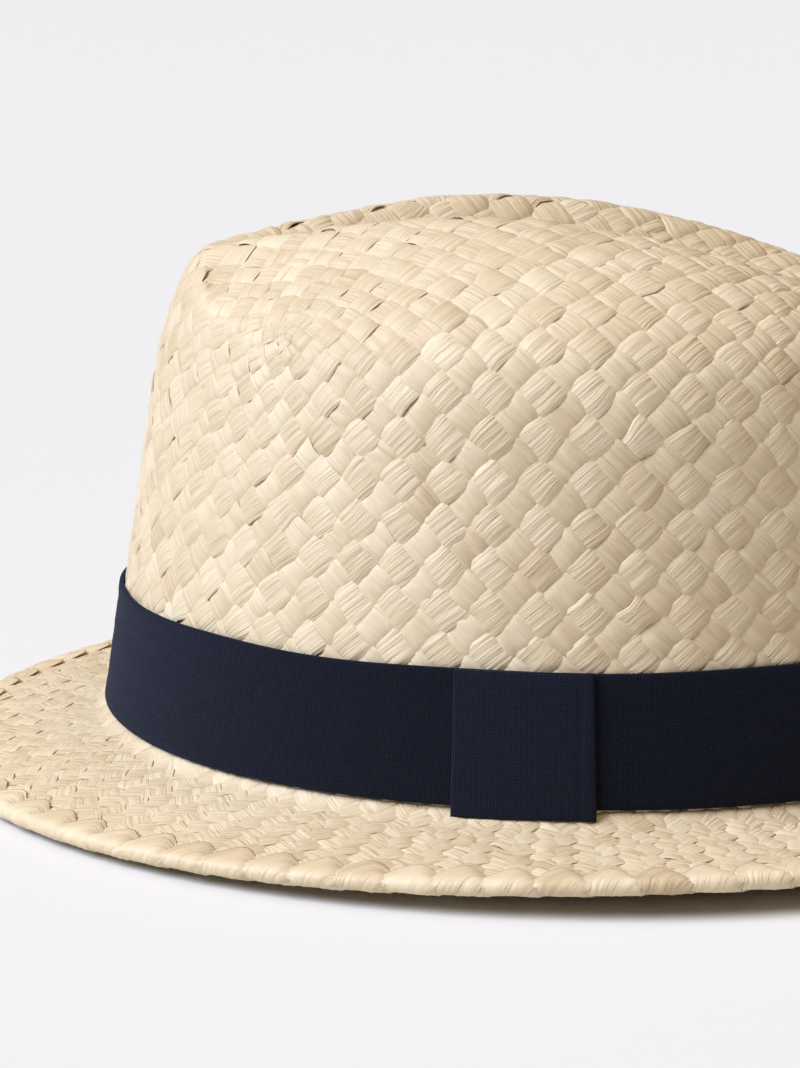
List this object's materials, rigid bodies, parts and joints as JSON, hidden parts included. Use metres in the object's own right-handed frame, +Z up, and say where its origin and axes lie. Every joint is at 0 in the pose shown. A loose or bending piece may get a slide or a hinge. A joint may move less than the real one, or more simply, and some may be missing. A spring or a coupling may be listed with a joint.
{
  "type": "fedora hat",
  "caption": "Short-brimmed plaited straw fedora with a pinched crown, a wide cloth band and a flat square bow on the wearer's left.",
  "frame": {"origin": "on the table the hat stands on, under the middle of the brim", "axes": "+Z up through the crown, -Y towards the front of the hat, +X towards the wearer's left, where the bow is"},
  "size_m": [0.225, 0.274, 0.115],
  "materials": {
    "straw": "plaited flat paper straw, natural, with a soft satin sheen",
    "ribbon": "navy woven cotton cloth, matt",
    "lining": "beige twill cotton tape, matt",
    "label": "off-white woven satin label, blank",
    "thread": "beige sewing thread",
    "navy_thread": "navy sewing thread"
  },
  "bodies": {
    "root": {"crown": "straw", "brim": "straw", "brim_folded_edge": "straw", "crown_brim_seam": "thread", "hat_band": "ribbon", "band_tab": "ribbon", "band_end_stitches": "navy_thread", "sweatband": "lining", "sweatband_join_tape": "lining", "sweatband_seam": "thread", "size_label": "label", "label_stitches": "thread"}
  },
  "joints": []
}
